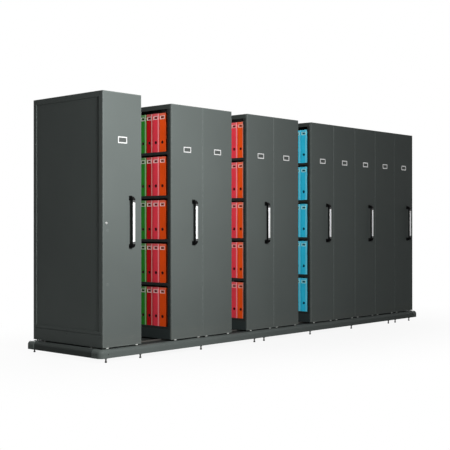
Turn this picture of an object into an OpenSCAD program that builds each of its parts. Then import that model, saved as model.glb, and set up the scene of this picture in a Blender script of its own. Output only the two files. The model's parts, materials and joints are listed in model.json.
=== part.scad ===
// Compact mobile shelving: five wheeled shelf units and one fixed end unit on a railed base.
// Lengths are in millimetres. X runs along the rails from the lock unit to the fixed unit,
// Y runs from the handle side to the rear and Z runs up from the floor.

/* [Units] */
// Width of one shelf face, seen from the handle side
face_w = 387; // [360:1:450]
// Depth of a unit, from its front panel to its rear panel
unit_d = 926; // [820:1:1200]
// Height of the end panels of the common units
panel_h = 2035; // [2015:1:2300]
// Height that the lock unit stands above the others
tall_extra = 36; // [0:1:80]
// Thickness of the closed cladding on the side of the lock unit
clad_w = 31; // [26:1:45]
// Open aisle between units 1 and 2
aisle_1 = 349; // [300:1:500]
// Open aisle between units 2 and 3
aisle_2 = 219; // [212:1:400]
// Open aisle between units 3 and 4
aisle_3 = 211; // [120:1:218]
// Gap that the rubber buffers leave between two closed units
closed_gap = 4; // [3:0.5:8]

/* [Sheet metal] */
// Thickness of panels, shelves and covers
sheet = 1.5; // [1:0.1:2]
// Depth of the folded edge of an end panel
panel_d = 18; // [17.5:0.5:24]
// Outer bend radius of an end panel
panel_bend = 3; // [2.5:0.5:6]
// Seam between the two panels of a double unit
panel_seam = 2; // [1:0.5:4]
// Return lip folded behind an end panel
panel_lip = 12; // [6:1:20]
// Width of the glides under the foot of a panel
glide_w = 24; // [12:1:40]
// Depth of those glides
glide_d = 6; // [4:0.5:6]
// Distance from the edges of a panel to its glides
glide_x = 50; // [30:1:80]
// Clearance between the glides and the corner caps that they pass over
glide_gap = 1; // [0.5:0.5:3]
// Hairline gap between pieces that are bolted or clipped together
seat = 0.1; // [0.05:0.05:0.3]
// Height of the folded rim of a top cover
cover_h = 40; // [30:1:60]

/* [Side cladding] */
// Width of the raised border at the front and the top
border_w = 45; // [30:1:70]
// Width of the raised border at the rear and the bottom
border_rear = 25; // [15:1:45]
// Depth of the recessed field
recess = 6; // [3:0.5:12]
// Height of the seam above the foot of the cladding
kick_h = 105; // [80:1:115]
// Width of that seam
kick_seam = 3; // [1:0.5:5]

/* [Shelves] */
// Height from one level to the next
shelf_pitch = 380; // [370:1:500]
// Height of the folded front edge of a shelf
shelf_edge = 24; // [22:1:27]
// Return lip under the front edge
shelf_lip = 12; // [6:1:20]
// Width of the stiffener under a shelf
stiffener_w = 60; // [30:1:100]
// Height of the stiffener under a shelf
stiffener_h = 18; // [12:1:21]
// Height of the back stop
stop_h = 45; // [25:1:70]
// Width of the back stop
stop_w = 16; // [10:1:24]

/* [Uprights] */
// Width of an outer upright
post_w = 38; // [32:1:50]
// Width of the middle upright of a double unit
mid_w = 60; // [50:1:80]
// Depth of an upright
post_d = 30; // [24:1:40]
// Wall of an upright
post_t = 2; // [1.5:0.1:3]
// Lip of an upright
post_lip = 8; // [4:1:10]
// Slots in an upright for each shelf pitch
slots_per_pitch = 5; // [2:1:8]
// Width of a slot
slot_w = 5; // [4.5:0.1:8]
// Height of a slot
slot_h = 18; // [16:0.5:22]
// Thickness of a shelf hook
hook_t = 3; // [2:0.1:3.5]
// Height of a shelf hook
hook_h = 13; // [8:0.5:14]
// Play of a hook in its slot, along the depth of the unit
hook_play = 0.5; // [0.2:0.1:1]
// Height of the neck of a hook below its tip
hook_drop = 5; // [3:0.5:8]
// Height of the ties between uprights
tie_h = 30; // [20:1:40]
// Depth of the ties
tie_d = 22; // [15:1:23]

/* [Chassis] */
// Height from the foot of a unit to its lowest shelf
chassis_h = 106; // [104:1:125]
// Width of the flanges of the chassis channels
beam_w = 25; // [20:1:30]
// Wall of the chassis channels
beam_t = 3; // [2:0.5:4]
// Width of the channel that covers a rail
channel_w = 70; // [66:1:90]
// Distance from a unit's side to its wheel centres
wheel_inset = 80; // [78:1:95]
// Radius of the rubber buffers
buffer_r = 12; // [8:1:20]
// Clearance that a buffer leaves when two units are closed
buffer_gap = 0.3; // [0.2:0.1:0.6]

/* [Wheels] */
// Radius of the tread
wheel_r = 36; // [34:0.5:37]
// Height of the wheel flanges above the tread
flange_h = 6; // [4:0.5:6.5]
// Thickness of a wheel flange
flange_t = 6; // [4:0.5:7]
// Depth of the rim under the tread
tyre_t = 7; // [5:0.5:9]
// Bevel of the wheel flanges
flange_bevel = 2; // [1:0.5:2]
// Thickness of the web between hub and rim
wheel_web = 14; // [8:0.5:20]
// Radius of the hub
hub_r = 20; // [16:0.5:22]
// Length of the hub
hub_l = 44; // [40:1:50]
// Radius of the wheel shafts
shaft_r = 10; // [8:0.5:12]
// Outer radius of a bearing housing
bearing_r = 24; // [20:0.5:28]
// Width of a bearing housing
bearing_w = 12; // [8:0.5:20]
// Thickness of the flange of a bearing housing
bearing_flange_t = 4; // [2:0.5:6]
// Width of the flange outside the housing
bearing_flange_w = 6; // [3:0.5:8]
// Clearance round a shaft where it passes a channel wall
wall_play = 4; // [2:0.5:6]
// Length of a shaft outside its bearings
shaft_over = 8; // [6.5:0.5:12]
// Thickness of the collars on a shaft
collar_t = 5; // [3:0.5:6]
// Running clearance on the radius
run_fit = 0.05; // [0.02:0.01:0.1]
// Clearance between the tread and the rail
tread_gap = 0.3; // [0.2:0.1:0.5]
// Sideways play between a flange and the rail head
flange_play = 1; // [0.5:0.1:2]

/* [Rails] */
// Distance from a unit's end faces to the rail centres
rail_inset = 150; // [140:1:220]
// Width of the rail head
head_w = 24; // [20:1:28]
// Height of the rail head
head_h = 10; // [8:0.5:12]
// Width of the rail web
web_w = 10; // [8:0.5:12]
// Width of the rail foot
rail_foot_w = 60; // [50:1:66]
// Thickness of the rail foot
rail_foot_t = 6; // [4:0.5:8]
// Height of the rail head above the sills
rail_rise = 8; // [6:0.5:9]
// Length of an anti-tip claw
claw_l = 60; // [40:1:80]
// Thickness of an anti-tip claw
claw_t = 6; // [5:0.5:8]
// Length of the blocks that stop the parked lock unit
block_l = 30; // [20:1:60]
// Clearance between a claw and the rail
claw_gap = 3; // [2:0.5:4]

/* [Base] */
// Distance that the base reaches past the first and last unit
over_x = 50; // [30:1:90]
// Distance that the base reaches past the end panels
over_y = 34; // [20:1:60]
// Height of the sills
sill_h = 68; // [66:1:90]
// Width of the sills
sill_w = 56; // [54:1:80]
// Wall of the sills
sill_t = 3; // [2:0.5:4]
// Radius of the rounded upper edge of a sill
sill_bend = 30; // [8:1:32]
// Height of the base above the floor
floor_gap = 36; // [18:1:50]
// Gap between the sills and the panels that travel over them
travel_gap = 12; // [11:0.5:20]
// Share of the length of the base that its first section takes
section_1 = 0.41; // [0.38:0.002:0.43]
// Share of the length of the base that its second section takes
section_2 = 0.482; // [0.45:0.002:0.5]
// Seam between two base sections
section_seam = 1; // [0.5:0.5:3]
// Distance that the floor of the base lies below the top of the sills
deck_drop = 2; // [1:0.5:4]
// Width of the slot beside a rail, from the rail centre
slot_half = 37; // [34:1:44]

/* [Corner caps] */
// Plan radius of the base corners
corner_r = 40; // [30:1:50]
// Length of a cap along the front
cap_x = 100; // [60:1:160]
// Length of a cap along the side
cap_y = 110; // [80:1:160]
// Wall of a cap
cap_t = 3; // [2:0.5:5]

/* [Levelling feet] */
// Radius of the threaded stem
stem_r = 6; // [5:0.5:8]
// Radius of the foot pad
pad_r = 9; // [8:0.5:14]
// Radius of the lock nut, across its corners
nut_r = 11; // [9:0.5:14]
// Height of the lock nut
nut_h = 6; // [4:0.5:8]
// Clearance of the stem in its holes
stem_play = 0.5; // [0.2:0.1:1]
// Distance from the left end of the base to its first foot
foot_start = 71; // [45:1:80]
// Distance from a seam between sections to the next foot
foot_inset = 70; // [50:1:100]
// Distance between the two feet under the parked lock unit
foot_pair = 371; // [300:1:500]
// Distance from the right end of the base to its last foot
foot_end = 155; // [130:1:220]
// Distance from the edge of the base to a foot
foot_edge = 20; // [20:1:46]
// Width of a cross member
cross_w = 60; // [50:1:70]
// Height of a cross member
cross_h = 27; // [22:1:30]

/* [Handles] */
// Length of the common handles
handle_l = 402; // [250:1:600]
// Length of the handle of the lock unit
handle_l_lock = 436; // [250:1:600]
// Height of the handle centres above the foot of a unit
handle_z = 1012; // [700:1:1300]
// Distance from a unit's left edge to its handle
handle_x = 270; // [60:1:300]
// Distance from the lock unit's left edge to its handle
handle_x_lock = 297; // [120:1:330]
// Distance from a panel to the centre of its handle bar
standoff = 36; // [34:1:60]
// Bend radius of the handle ends
elbow_r = 20; // [17:1:30]
// Width of the handle
grip_w = 30; // [20:1:32]
// Thickness of the handle
grip_d = 26; // [18:1:30]
// Length of the sleeve at each end of the bar
sleeve_l = 18; // [10:1:40]
// Width of the bright strip on the front of the bar
strip_w = 18; // [8:1:24]
// Thickness of that strip
strip_t = 4; // [2:0.5:8]
// Step from the sleeves in to the bar
bar_step = 1; // [0.5:0.5:2]
// Thickness of the foot of a handle end
foot_plate = 4; // [2:0.5:8]
// Width of the rim of that foot
foot_rim = 6; // [2:0.5:8]
// Radius of the rounded edges of the handle
grip_round = 8; // [4:0.5:8.5]

/* [Label holders] */
// Width of the common label holders
label_w = 92; // [60:1:140]
// Height of the common label holders
label_h = 50; // [36:1:80]
// Width of the label holder of the lock unit
label_w_lock = 98; // [60:1:160]
// Height of the label holder of the lock unit
label_h_lock = 55; // [36:1:90]
// Width of the frame of a label holder
label_rim = 9; // [5:0.5:12]
// Thickness of a label holder
label_t = 3; // [2:0.5:5]
// Corner radius of a label holder
label_r = 3; // [1:0.5:6]
// Thickness of the card in a label holder
card_t = 1; // [0.5:0.5:1.5]
// Play of the card in its holder
card_play = 0.3; // [0.2:0.1:0.6]
// Height of the label holders above the foot of a unit
label_z = 1648; // [1300:1:1900]
// Height of the label holder of the lock unit above its foot
label_z_lock = 1684; // [1300:1:1900]

/* [Lock] */
// Distance from the lock unit's left edge to the lock
lock_x = 38; // [34:1:60]
// Height of the lock above the foot of the unit
lock_z = 1005; // [700:1:1300]
// Radius of the lock barrel
barrel_r = 9; // [7:0.5:10]
// Radius of the lock's rim
rim_r = 11; // [10.5:0.5:14]
// Radius from the barrel to the crank pin
crank = 16; // [14:0.5:18]
// Radius of the crank pin
pin_r = 3; // [2:0.5:3.5]
// Radius of the lock rod
rod_r = 4; // [3:0.5:4]
// Play of the crank pin in the yoke
yoke_play = 0.8; // [0.7:0.1:1.2]
// Sliding clearance of the lock rod in its guides
guide_fit = 0.3; // [0.2:0.1:0.6]
// Height of a guide
guide_h = 12; // [8:1:30]
// Wall of a guide beside the rod
guide_wall = 4; // [2:0.5:6]
// Distance from the panel's face to the cam
cam_y = 8.5; // [8:0.1:8.5]
// Thickness of the cam and of the yoke
cam_t = 2; // [1:0.5:2.5]
// Metal round the crank pin and round the yoke's opening
yoke_wall = 4; // [3:0.5:5]
// Gap between the cam and the yoke
cam_gap = 0.5; // [0.3:0.1:1]
// Height of the lock's rim in front of the panel
rim_h = 4; // [2:0.5:6]
// Bevel of the lock's rim
rim_bevel = 2; // [1:0.5:3]
// Length of the keyway
key_l = 8; // [6:0.5:10]
// Width of the keyway
key_w = 1.6; // [1:0.1:2.5]
// Distance that the raised rod reaches below the panel
rod_tip = 2; // [0:0.5:5]
// Clearance of the rod in the holes of the front sill
keeper_play = 2; // [1:0.5:4]

/* [Binders] */
// Height of a binder
binder_h = 340; // [300:1:350]
// Width of a binder's spine
binder_w = 80; // [50:1:84]
// Depth of a binder
binder_d = 287; // [240:1:300]
// Space from one binder to the next
binder_gap = 3; // [1:0.5:6]
// Distance from the upright of unit 2 to its first binder
first_gap_2 = 36; // [1:1:60]
// Distance from the upright of unit 3 to its first binder
first_gap_3 = 6; // [1:1:60]
// Distance from the upright of unit 4 to its first binder
first_gap_4 = 16; // [1:1:60]
// Thickness of a binder's boards
board = 3; // [2:0.5:4]
// Distance that the papers stand back from the edges of the boards
paper_in = 4; // [2:0.5:8]
// Width of the label pocket on the spine
pocket_w = 64; // [30:1:70]
// Height of the label pocket
pocket_h = 40; // [20:1:80]
// Distance from the top of a binder to its label pocket
pocket_top = 17; // [8:1:40]
// Width of the rim of the label pocket
pocket_rim = 6; // [2:0.5:8]
// Depth of the finger hole
finger_t = 10; // [5:0.5:20]
// Radius of the finger hole
finger_r = 12; // [8:0.5:16]
// Height of the finger hole above the shelf
finger_z = 86; // [60:1:120]
// Distance that the binders stand back from the shelf edge
binder_back = 12; // [4:1:40]

/* [Hidden] */
faces = [1, 2, 2, 2, 2, 1];
last = len(faces) - 1;
gaps = [aisle_1, aisle_2, aisle_3, closed_gap, closed_gap];
anthracite = [0.27, 0.29, 0.29];
dark = [0.13, 0.14, 0.14];
steel = [0.72, 0.73, 0.74];
iron = [0.45, 0.46, 0.47];
bright = [0.88, 0.88, 0.88];
grey = [0.35, 0.37, 0.38];
black = [0.05, 0.05, 0.06];
orange = [0.85, 0.22, 0.1];
crimson = [0.78, 0.15, 0.28];
red = [0.75, 0.06, 0.08];
green = [0.08, 0.5, 0.12];
blue = [0.05, 0.45, 0.75];
over = 1;
arc = 48;

// Widths and places of the units
function body_w(i) = faces[i] * face_w;
function unit_w(i) = body_w(i) + (i == 0 ? clad_w : 0);
function row_to(i) = i == 0 ? 0 : row_to(i - 1) + unit_w(i - 1) + gaps[i - 1];
row_w = row_to(last) + unit_w(last);
row_x0 = -row_w / 2;
function unit_x(i) = row_x0 + row_to(i);
function body_x(i) = unit_x(i) + (i == 0 ? clad_w : 0);
function name_of(i, part) = str("unit", i + 1, "_", part);

bevel = 1;
rim_gap = 0.3;
handle_reach = standoff + grip_d / 2;
front_y = handle_reach - (handle_reach + unit_d + over_y + cap_t) / 2;
rear_y = front_y + unit_d;

// Extent of the base and of its sections
base_x0 = row_x0 - over_x;
base_x1 = row_x0 + row_w + over_x;
base_y0 = front_y - over_y;
base_y1 = rear_y + over_y;
base_l = base_x1 - base_x0;
cuts = [base_x0, base_x0 + section_1 * base_l, base_x0 + (section_1 + section_2) * base_l, base_x1];

// Heights
sill_top = floor_gap + sill_h;
unit_z = sill_top + travel_gap;
rail_top = sill_top + rail_rise;
cross_z = floor_gap + sill_t;
cross_top = cross_z + cross_h;
axle_z = rail_top + tread_gap + wheel_r;
shelf_z = unit_z + chassis_h;
beam_h = chassis_h - shelf_edge;
beam_top = unit_z + beam_h;
function top_z(i) = unit_z + panel_h + (i == 0 ? tall_extra : 0);
function level_z(k) = shelf_z + k * shelf_pitch;
levels = 1 + floor((panel_h - cover_h - chassis_h - binder_h) / shelf_pitch);

// Uprights, slots and hooks
post_y = panel_d + sheet + seat;
bay_y = post_y + post_d;
bay_l = unit_d - 2 * bay_y;
slot_pitch = shelf_pitch / slots_per_pitch;
slot_drop = shelf_edge - hook_drop;
first_slot = shelf_z - slot_drop;
function post_h(i) = top_z(i) - sheet - seat - beam_top;
function slot_count(i) = floor((top_z(i) - cover_h - slot_h - first_slot) / slot_pitch);
side_in = sheet + seat;
function post_xs(i) = faces[i] == 1 ? [[side_in, post_w], [face_w - side_in - post_w, post_w]]
  : [[side_in, post_w], [face_w - mid_w / 2, mid_w], [2 * face_w - side_in - post_w, post_w]];

// Rails and wheels
rail_ys = [front_y + rail_inset, rear_y - rail_inset];
function wheel_x(i, side) = body_x(i) + (side == 0 ? wheel_inset : body_w(i) - wheel_inset);
groove = head_w / 2 + flange_play;
rim_half = groove + flange_t;
claw_x0 = body_x(0) + body_w(0) / 2 - claw_l / 2;

// Feet of each base section, evenly spaced but for the pairs under the end units
mid_l = cuts[2] - cuts[1] - 2 * foot_inset;
first_foot = cuts[0] + foot_start;
first_l = cuts[1] - foot_inset - first_foot - foot_pair;
foot_xs = concat(
  [first_foot, first_foot + foot_pair],
  [for (k = [1:2]) first_foot + foot_pair + k * first_l / 2],
  [for (k = [0:3]) cuts[1] + foot_inset + k * mid_l / 3],
  [cuts[2] + foot_inset, base_x1 - foot_end]);
foot_ys = [base_y0 + foot_edge, base_y1 - foot_edge];

// Lock
lock_cx = unit_x(0) + lock_x;
lock_cz = unit_z + lock_z;
cam_r = crank + pin_r + over;
yoke_y = cam_y + cam_t + cam_gap;
pin_dx = crank * cos(45);
rod_x = lock_cx + (pin_dx + crank) / 2;
rod_y = front_y + yoke_y + cam_t / 2;
yoke_foot = lock_cz - cam_r - 2 * over;
guide_zs = [unit_z + sheet + seat, unit_z + lock_z / 2, yoke_foot - 2 * crank - guide_h];
travel_1 = aisle_1 - closed_gap;

// A box between two corners
module box(p, q) {
  translate(p) cube(q - p);
}

// A profile in X and Z, run along Y from y0 over a length
module run_y(y0, length) {
  translate([0, y0 + length, 0]) rotate([90, 0, 0]) linear_extrude(length) children();
}

// A profile in Y and Z, run along X from x0 over a length
module run_x(x0, length) {
  translate([x0, 0, 0]) rotate([90, 0, 90]) linear_extrude(length) children();
}

// A child and its mirror image about the middle of the unit's depth
module both_ends() {
  children();
  translate([0, front_y + rear_y, 0]) mirror([0, 1, 0]) children();
}

// A rectangle with all four corners round, centred
module round_rect(w, h, r) {
  square([w - 2 * r, h], center = true);
  square([w, h - 2 * r], center = true);
  for (x = [-1, 1], y = [-1, 1])
    translate([x * (w / 2 - r), y * (h / 2 - r)]) circle(r = r, $fn = arc);
}

// A channel section, open towards +X
module channel(w, h, t) {
  difference() {
    square([w, h]);
    translate([t, t]) square([w, h - 2 * t]);
  }
}

// The base

// Outline of a sill from its outer face inwards, with a round upper edge
module sill_outline(w, h, r) {
  square([w, h - r]);
  translate([r, 0]) square([w - r, h]);
  intersection() {
    square([r, h]);
    translate([r, h - r]) circle(r = r, $fn = arc);
  }
}

module sill_section() {
  difference() {
    sill_outline(sill_w, sill_h, sill_bend);
    translate([sill_t, sill_t])
      sill_outline(sill_w, sill_h - 2 * sill_t, sill_bend - sill_t);
  }
}

module foot_holes(r) {
  for (x = foot_xs, y = foot_ys)
    translate([x, y, floor_gap - over]) cylinder(r = r, h = cross_top, $fn = arc);
}

module front_sills() {
  for (k = [0:2]) {
    x0 = max(cuts[k] + section_seam / 2, base_x0 + corner_r);
    x1 = min(cuts[k + 1] - section_seam / 2, base_x1 - corner_r);
    run_x(x0, x1 - x0) translate([base_y0, floor_gap]) sill_section();
  }
}

module end_sill() {
  inset = sill_w + section_seam;
  run_y(base_y0 + inset, base_y1 - base_y0 - 2 * inset)
    translate([base_x0, floor_gap]) sill_section();
}

// Holes that the lock rod drops into, with unit 1 parked and with unit 1 closed up
module keeper_holes() {
  for (x = [rod_x, rod_x + travel_1])
    translate([x, rod_y, sill_top - sill_bend]) cylinder(r = rod_r + keeper_play, h = sill_h, $fn = arc);
}

module base_sills() {
  color(anthracite) difference() {
    union() {
      both_ends() front_sills();
      end_sill();
      mirror([1, 0, 0]) end_sill();
    }
    foot_holes(stem_r + stem_play);
    keeper_holes();
  }
}

// Shell that follows the sill's outer face and its round edge
module cap_section() {
  difference() {
    translate([-cap_t, 0]) sill_outline(corner_r + cap_t, sill_h + cap_t, sill_bend + cap_t);
    translate([0, -over]) sill_outline(corner_r + over, sill_h + over, sill_bend);
  }
}

module corner_cap() {
  translate([base_x0 + corner_r, base_y0 + corner_r, floor_gap]) {
    rotate([0, 0, 180]) rotate_extrude(angle = 90, $fn = arc)
      translate([corner_r, 0]) mirror([1, 0]) cap_section();
    rotate([90, 0, 90]) linear_extrude(cap_x - corner_r)
      translate([-corner_r, 0]) cap_section();
    translate([0, cap_y - corner_r, 0]) rotate([90, 0, 0]) linear_extrude(cap_y - corner_r)
      translate([-corner_r, 0]) cap_section();
  }
}

module corner_caps() {
  color(black) for (m = [0, 1]) mirror([m, 0, 0]) both_ends() corner_cap();
}

module rail_section() {
  h = rail_top - cross_top;
  translate([-rail_foot_w / 2, 0]) square([rail_foot_w, rail_foot_t]);
  translate([-web_w / 2, 0]) square([web_w, h]);
  translate([-head_w / 2, h - head_h]) square([head_w, head_h]);
}

module track_rails() {
  color(steel) for (k = [0:2], y = rail_ys) {
    x0 = max(cuts[k] + section_seam / 2, base_x0 + sill_w);
    x1 = min(cuts[k + 1] - section_seam / 2, base_x1 - sill_w);
    run_x(x0, x1 - x0) translate([y, cross_top]) rail_section();
  }
}

module cross_members() {
  color(dark) difference() {
    for (x = foot_xs) translate([x - cross_w / 2, 0, cross_z])
      run_y(base_y0 + corner_r / 4, base_y1 - base_y0 - corner_r / 2) difference() {
        square([cross_w, cross_h]);
        translate([beam_t, -over]) square([cross_w - 2 * beam_t, cross_h - beam_t + over]);
      }
    foot_holes(stem_r + stem_play);
  }
}

// A folded floor tray, open underneath
module deck_tray(x0, x1, y0, y1) {
  z1 = sill_top - deck_drop;
  difference() {
    box([x0, y0, cross_top], [x1, y1, z1]);
    box([x0 + beam_t, y0 + beam_t, cross_top - over], [x1 - beam_t, y1 - beam_t, z1 - beam_t]);
  }
}

module deck_panels() {
  edges = [[base_y0 + sill_w + section_seam, rail_ys[0] - slot_half],
    [rail_ys[0] + slot_half, rail_ys[1] - slot_half],
    [rail_ys[1] + slot_half, base_y1 - sill_w - section_seam]];
  color(dark) for (k = [0:2], e = edges) {
    x0 = max(cuts[k] + section_seam / 2, base_x0 + sill_w + section_seam);
    x1 = min(cuts[k + 1] - section_seam / 2, base_x1 - sill_w - section_seam);
    deck_tray(x0, x1, e[0], e[1]);
  }
}

module levelling_foot() {
  pad_h = floor_gap / 3;
  stem_top = cross_top + nut_h;
  rotate_extrude($fn = arc) polygon([[0, 0], [pad_r - bevel, 0], [pad_r, bevel],
    [pad_r, pad_h - bevel], [stem_r, pad_h], [stem_r, stem_top], [0, stem_top]]);
  translate([0, 0, floor_gap - nut_h]) cylinder(r = nut_r, h = nut_h, $fn = 6);
}

module levelling_feet() {
  color(black) for (x = foot_xs, y = foot_ys) translate([x, y, 0]) levelling_foot();
}

// Blocks on the rail feet that the claws of the lock unit meet when it is parked
module rail_stops() {
  z0 = cross_top + rail_foot_t;
  z1 = rail_top - head_h - claw_gap + over;
  color(black) for (y = rail_ys, s = [-1, 1]) {
    y0 = y + (s > 0 ? web_w / 2 : -rail_foot_w / 2 + claw_t);
    box([claw_x0 - over - block_l, y0, z0],
      [claw_x0 - over, y0 + rail_foot_w / 2 - claw_t - web_w / 2, z1]);
  }
}

// The carriages

// Side channels of a carriage, with the end channels between them
module beam_ring(i) {
  w = body_w(i);
  fit_in = beam_w + seat;
  for (m = [0, 1]) translate([body_x(i) + m * w, 0, 0]) mirror([m, 0, 0])
    run_y(front_y + panel_d, unit_d - 2 * panel_d) translate([0, unit_z])
      channel(beam_w, beam_h, beam_t);
  both_ends() run_x(body_x(i) + fit_in, w - 2 * fit_in) translate([front_y + panel_d, unit_z])
    channel(beam_w, beam_h, beam_t);
}

// Beams under the middle uprights, between the end channels and the rail channels
module middle_beams(i) {
  stops = [front_y + panel_d + beam_w, rail_ys[0] - channel_w / 2, rail_ys[0] + channel_w / 2,
    rail_ys[1] - channel_w / 2, rail_ys[1] + channel_w / 2, rear_y - panel_d - beam_w];
  for (k = [0, 2, 4]) run_y(stops[k] + seat, stops[k + 1] - stops[k] - 2 * seat)
    translate([body_x(i) + face_w - beam_w, unit_z]) {
      channel(beam_w, beam_h, beam_t);
      translate([beam_w, 0]) square([beam_t, beam_h]);
    }
}

// Inverted channel over a rail, with a seat for each shaft
module rail_channel(i, y, bored) {
  difference() {
    run_x(body_x(i) + beam_w + seat, body_w(i) - 2 * (beam_w + seat))
      translate([y - channel_w / 2, unit_z])
      difference() {
        square([channel_w, beam_h]);
        translate([beam_t, -over]) square([channel_w - 2 * beam_t, beam_h - beam_t + over]);
      }
    if (bored) for (side = [0, 1])
      translate([wheel_x(i, side), y, axle_z]) rotate([90, 0, 0])
        cylinder(r = shaft_r + wall_play, h = 2 * channel_w, center = true, $fn = arc);
  }
}

// Flanged bearing housing outside a channel wall
module bearing(i, side, y, s) {
  translate([wheel_x(i, side), y + s * (channel_w / 2 + seat), axle_z]) rotate([-90 * s, 0, 0])
    difference() {
      union() {
        cylinder(r = bearing_r, h = bearing_flange_t, $fn = arc);
        cylinder(r = bearing_r - bearing_flange_w, h = bearing_w, $fn = arc);
      }
      translate([0, 0, -over])
        cylinder(r = shaft_r + run_fit, h = bearing_w + 2 * over, $fn = arc);
    }
}

// Claw that reaches under one side of the rail head
module claw(x, y, s) {
  wall = channel_w / 2 - beam_t - seat;
  lip_z = rail_top - head_h - claw_gap - claw_t;
  run_x(x - claw_l / 2, claw_l) translate([y, 0]) mirror([s > 0 ? 0 : 1, 0]) {
    translate([wall - claw_t, lip_z]) square([claw_t, beam_top - beam_t - seat - lip_z]);
    translate([web_w / 2 + claw_gap, lip_z]) square([wall - claw_gap - web_w / 2, claw_t]);
  }
}

module buffer(i, y) {
  translate([body_x(i) + body_w(i) + seat, y, unit_z + beam_h / 2]) rotate([0, 90, 0])
    cylinder(r = buffer_r, h = closed_gap - buffer_gap - seat, $fn = arc);
}

module chassis(i) {
  color(dark) {
    beam_ring(i);
    if (faces[i] == 2) middle_beams(i);
    for (y = rail_ys) rail_channel(i, y, true);
  }
  color(steel) for (y = rail_ys, s = [-1, 1]) {
    for (side = [0, 1]) bearing(i, side, y, s);
    claw(body_x(i) + body_w(i) / 2, y, s);
  }
  color(black) for (y = [front_y + rail_inset / 2, rear_y - rail_inset / 2]) buffer(i, y);
}

module plinth() {
  color(dark) {
    beam_ring(last);
    for (y = rail_ys) rail_channel(last, y, false);
  }
  color(steel) for (y = rail_ys) {
    for (s = [-1, 1]) claw(body_x(last) + face_w / 2, y, s);
    for (side = [0, 1]) box(
      [wheel_x(last, side) - claw_l / 2, y - channel_w / 2, rail_top],
      [wheel_x(last, side) + claw_l / 2, y + channel_w / 2, unit_z]);
  }
}

// Flanged wheel, turned about its shaft
module wheel() {
  h = hub_l / 2;
  web = wheel_web / 2;
  b = flange_bevel;
  tip = wheel_r + flange_h;
  dish = wheel_r - tyre_t;
  bore = shaft_r + run_fit;
  half = [[bore, h], [hub_r, h], [hub_r, web], [dish, web], [dish, rim_half], [tip - b, rim_half],
    [tip, rim_half - b], [tip, groove + b], [wheel_r, groove]];
  other = [for (k = [len(half) - 1:-1:0]) [half[k][0], -half[k][1]]];
  rotate_extrude($fn = arc) polygon(concat(half, other));
}

module wheelset(i, side) {
  reach = channel_w / 2 + bearing_w;
  y0 = rail_ys[0] - reach;
  y1 = rail_ys[1] + reach;
  translate([wheel_x(i, side), 0, axle_z]) rotate([-90, 0, 0]) {
    color(steel) {
      translate([0, 0, y0 - shaft_over]) cylinder(r = shaft_r, h = y1 - y0 + 2 * shaft_over, $fn = arc);
      for (z = [y0 - over - collar_t, y1 + over])
        translate([0, 0, z]) cylinder(r = shaft_r + wall_play, h = collar_t, $fn = arc);
    }
    color(iron) for (y = rail_ys) translate([0, 0, y]) wheel();
  }
}

// The shelf bodies

// Slotted upright: a lipped channel open towards the end panel
module upright(i, x, w) {
  columns = w == mid_w ? [w / 4, 3 * w / 4] : [w / 2];
  translate([body_x(i) + x, front_y + post_y, 0]) difference() {
    translate([0, 0, beam_top]) linear_extrude(post_h(i)) difference() {
      square([w, post_d]);
      translate([post_t, post_t]) square([w - 2 * post_t, post_d - 2 * post_t]);
      translate([post_lip, -over]) square([w - 2 * post_lip, post_t + 2 * over]);
    }
    for (k = [0:slot_count(i)], c = columns)
      translate([c - slot_w / 2, post_d - post_t - over, first_slot + k * slot_pitch])
        cube([slot_w, post_t + 2 * over, slot_h]);
  }
}

// Channel between two uprights of an end frame
module tie(i, x0, x1, z) {
  run_x(body_x(i) + x0, x1 - x0) translate([front_y + post_y, z]) channel(tie_d, tie_h, post_t);
}

module top_cover(i) {
  x0 = body_x(i);
  x1 = x0 + body_w(i);
  y0 = front_y + panel_d;
  y1 = rear_y - panel_d;
  z1 = top_z(i);
  difference() {
    box([x0, y0, z1 - cover_h], [x1, y1, z1]);
    box([x0 + sheet, y0 + sheet, z1 - cover_h - over], [x1 - sheet, y1 - sheet, z1 - sheet]);
  }
}

module frame(i) {
  posts = post_xs(i);
  tie_zs = [beam_top, beam_top + post_h(i) / 2, top_z(i) - cover_h - tie_h - seat];
  color(dark) both_ends() {
    for (p = posts) upright(i, p[0], p[1]);
    for (k = [1:len(posts) - 1], z = tie_zs)
      tie(i, posts[k - 1][0] + posts[k - 1][1] + seat, posts[k][0] - seat, z);
  }
  color(anthracite) top_cover(i);
}

// Folded section of a shelf, from its open edge inwards
module shelf_section(w) {
  translate([0, -sheet]) square([w, sheet]);
  for (m = [0, 1]) translate([m * w, 0]) mirror([m, 0]) {
    translate([0, -shelf_edge]) square([sheet, shelf_edge]);
    translate([0, -shelf_edge]) square([shelf_lip, sheet]);
  }
  translate([(w - stiffener_w) / 2, -stiffener_h]) difference() {
    square([stiffener_w, stiffener_h]);
    translate([sheet, sheet]) square([stiffener_w - 2 * sheet, shelf_edge]);
  }
}

// Hook that passes through a slot and drops behind the wall of the upright
module hook(x) {
  reach = post_t + hook_play;
  translate([x - hook_t / 2, 0, -slot_drop + seat])
    rotate([90, 0, 90]) linear_extrude(hook_t)
      polygon([[0, 0], [-reach, 0], [-reach, -hook_drop], [-reach - hook_t, -hook_drop],
        [-reach - hook_t, hook_h], [0, hook_h]]);
}

// A shelf from its open edge at x = 0 to its back edge at x = w
module shelf(w, hooks) {
  run_y(sheet, bay_l - 2 * sheet) shelf_section(w);
  for (m = [0, 1]) translate([0, m * bay_l, 0]) mirror([0, m, 0]) {
    box([0, 0, -shelf_edge], [w, sheet, 0]);
    for (x = hooks) hook(x);
  }
}

module back_stop(x) {
  run_y(0, bay_l) translate([x - stop_w / 2, seat]) difference() {
    square([stop_w, stop_h]);
    translate([sheet, -over]) square([stop_w - 2 * sheet, stop_h - sheet + over]);
  }
}

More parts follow.
